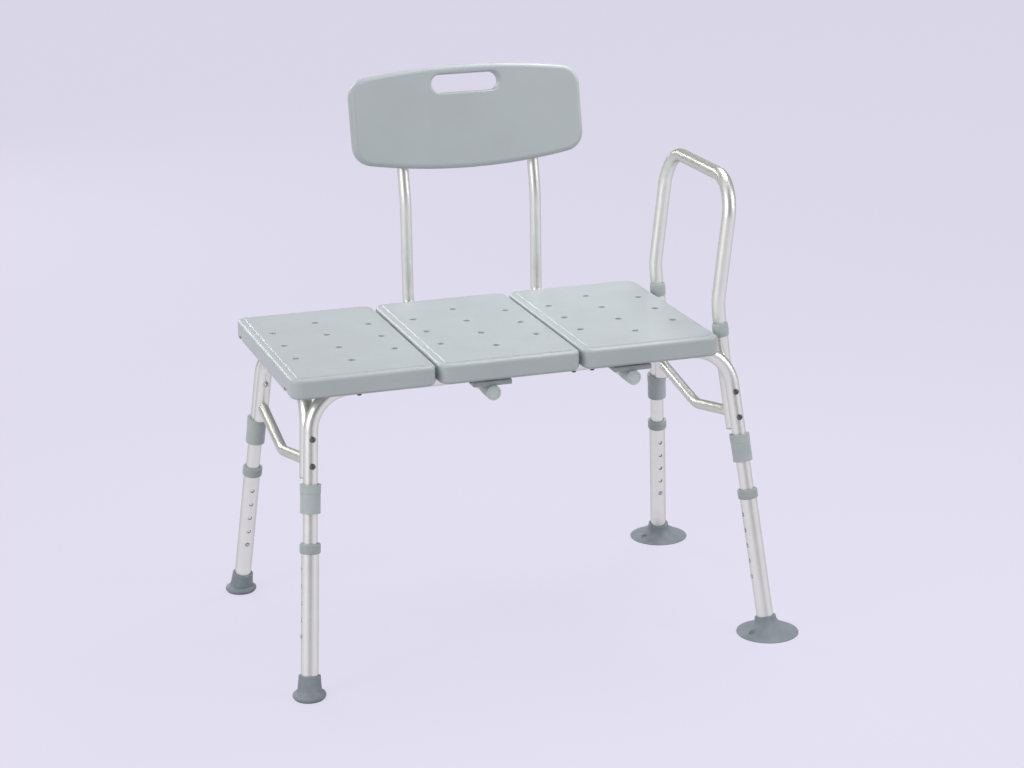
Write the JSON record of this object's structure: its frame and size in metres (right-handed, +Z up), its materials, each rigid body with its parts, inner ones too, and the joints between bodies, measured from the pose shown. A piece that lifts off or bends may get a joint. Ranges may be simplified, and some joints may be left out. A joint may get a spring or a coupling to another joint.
{
  "type": "tub transfer bench",
  "caption": "Tub transfer bench: moulded panel seat on an aluminium tube frame, pull-out backrest, lift-out arm handle and telescoping legs on rubber tips and suction cups.",
  "frame": {"origin": "on the floor, under the middle of the bench's outline seen from above", "axes": "+Z up, +X along the seat towards the arm handle's end, +Y towards the backrest"},
  "size_m": [0.83, 0.6286, 0.8514],
  "materials": {
    "panel_plastic": "fine grained moulding, pale grey",
    "sleeve_plastic": "smooth moulding, mid grey",
    "aluminium": "satin anodised",
    "rubber": "matt grey",
    "spring_steel": "plated",
    "screw_steel": "plated, dull"
  },
  "bodies": {
    "bench_frame": {"front_rail": "aluminium", "rear_rail": "aluminium", "left_end_frame": "aluminium", "front_arm_socket": "aluminium", "rear_arm_socket": "aluminium", "front_arm_ferrule": "sleeve_plastic", "rear_arm_ferrule": "sleeve_plastic", "seat_panel_left": "panel_plastic", "seat_panel_centre": "panel_plastic", "seat_panel_right": "panel_plastic", "frame_bolt_front_left_upper": "screw_steel", "frame_bolt_front_left_lower": "screw_steel", "frame_bolt_front_right_upper": "screw_steel", "frame_bolt_front_right_lower": "screw_steel", "frame_bolt_rear_left_upper": "screw_steel", "frame_bolt_rear_left_lower": "screw_steel", "frame_bolt_rear_right_upper": "screw_steel", "frame_bolt_rear_right_lower": "screw_steel", "leg_collar_front_left": "sleeve_plastic", "leg_collar_front_right": "sleeve_plastic", "leg_collar_rear_left": "sleeve_plastic", "leg_collar_rear_right": "sleeve_plastic", "brace_left": "aluminium", "brace_right": "aluminium", "cross_tube_left": "aluminium", "cross_tube_right": "aluminium", "cross_tube_cap_left": "sleeve_plastic", "cross_tube_cap_right": "sleeve_plastic", "saddle_front_left": "sleeve_plastic", "saddle_front_right": "sleeve_plastic", "saddle_rear_left": "sleeve_plastic", "saddle_rear_right": "sleeve_plastic"},
    "leg_front_left": {"lower_leg_front_left": "aluminium", "leg_ring_front_left": "sleeve_plastic", "rubber_tip_front_left": "rubber"},
    "leg_button_front_left": {"leg_clip_front_left": "spring_steel"},
    "leg_front_right": {"lower_leg_front_right": "aluminium", "leg_ring_front_right": "sleeve_plastic", "suction_cup_front_right": "rubber"},
    "leg_button_front_right": {"leg_clip_front_right": "spring_steel"},
    "leg_rear_left": {"lower_leg_rear_left": "aluminium", "leg_ring_rear_left": "sleeve_plastic", "rubber_tip_rear_left": "rubber"},
    "leg_button_rear_left": {"leg_clip_rear_left": "spring_steel"},
    "leg_rear_right": {"lower_leg_rear_right": "aluminium", "leg_ring_rear_right": "sleeve_plastic", "suction_cup_rear_right": "rubber"},
    "leg_button_rear_right": {"leg_clip_rear_right": "spring_steel"},
    "arm": {"arm_handle": "aluminium"},
    "arm_button_front": {"front_arm_clip": "spring_steel"},
    "arm_button_rear": {"rear_arm_clip": "spring_steel"},
    "backrest": {"backrest_panel": "panel_plastic", "backrest_tube_left": "aluminium", "backrest_tube_right": "aluminium", "backrest_screw_lower_left": "screw_steel", "backrest_screw_lower_right": "screw_steel", "backrest_screw_upper_left": "screw_steel", "backrest_screw_upper_right": "screw_steel"},
    "backrest_button_left": {"backrest_clip_left": "spring_steel"},
    "backrest_button_right": {"backrest_clip_right": "spring_steel"}
  },
  "joints": [
    {"name": "leg_front_left_extends", "type": "slide", "parent": "bench_frame", "child": "leg_front_left", "axis": [-0.0856, -0.1816, -0.9796], "range_m": [0, 0.1016]},
    {"name": "leg_button_front_left_presses", "type": "slide", "parent": "bench_frame", "child": "leg_button_front_left", "axis": [0.9963, -0.0156, -0.0842], "range_m": [0, 0.0033], "stiffness_N_per_m": 4000, "deforming": ["leg_clip_front_left"]},
    {"name": "leg_front_right_extends", "type": "slide", "parent": "bench_frame", "child": "leg_front_right", "axis": [0.0856, -0.1816, -0.9796], "range_m": [0, 0.1016]},
    {"name": "leg_button_front_right_presses", "type": "slide", "parent": "bench_frame", "child": "leg_button_front_right", "axis": [0.9963, 0.0156, 0.0842], "range_m": [0, 0.0033], "stiffness_N_per_m": 4000, "deforming": ["leg_clip_front_right"]},
    {"name": "leg_rear_left_extends", "type": "slide", "parent": "bench_frame", "child": "leg_rear_left", "axis": [-0.0856, 0.1816, -0.9796], "range_m": [0, 0.1016]},
    {"name": "leg_button_rear_left_presses", "type": "slide", "parent": "bench_frame", "child": "leg_button_rear_left", "axis": [0.0158, 0.9834, 0.1809], "range_m": [0, 0.0033], "stiffness_N_per_m": 4000, "deforming": ["leg_clip_rear_left"]},
    {"name": "leg_rear_right_extends", "type": "slide", "parent": "bench_frame", "child": "leg_rear_right", "axis": [0.0856, 0.1816, -0.9796], "range_m": [0, 0.1016]},
    {"name": "leg_button_rear_right_presses", "type": "slide", "parent": "bench_frame", "child": "leg_button_rear_right", "axis": [-0.0158, 0.9834, 0.1809], "range_m": [0, 0.0033], "stiffness_N_per_m": 4000, "deforming": ["leg_clip_rear_right"]},
    {"name": "arm_lifts_out", "type": "slide", "parent": "bench_frame", "child": "arm", "axis": [-0.1142, 0, 0.9935], "range_m": [0, 0.06]},
    {"name": "arm_button_front_presses", "type": "slide", "parent": "arm", "child": "arm_button_front", "axis": [0, -1, 0], "range_m": [0, 0.0034], "stiffness_N_per_m": 4000, "deforming": ["front_arm_clip"]},
    {"name": "arm_button_rear_presses", "type": "slide", "parent": "arm", "child": "arm_button_rear", "axis": [0, 1, 0], "range_m": [0, 0.0034], "stiffness_N_per_m": 4000, "deforming": ["rear_arm_clip"]},
    {"name": "backrest_pulls_out", "type": "slide", "parent": "bench_frame", "child": "backrest", "axis": [0, 1, 0], "range_m": [0, 0.11]},
    {"name": "backrest_button_left_presses", "type": "slide", "parent": "backrest", "child": "backrest_button_left", "axis": [0, 0, 1], "range_m": [0, 0.0034], "stiffness_N_per_m": 4000, "deforming": ["backrest_clip_left"]},
    {"name": "backrest_button_right_presses", "type": "slide", "parent": "backrest", "child": "backrest_button_right", "axis": [0, 0, 1], "range_m": [0, 0.0034], "stiffness_N_per_m": 4000, "deforming": ["backrest_clip_right"]}
  ]
}
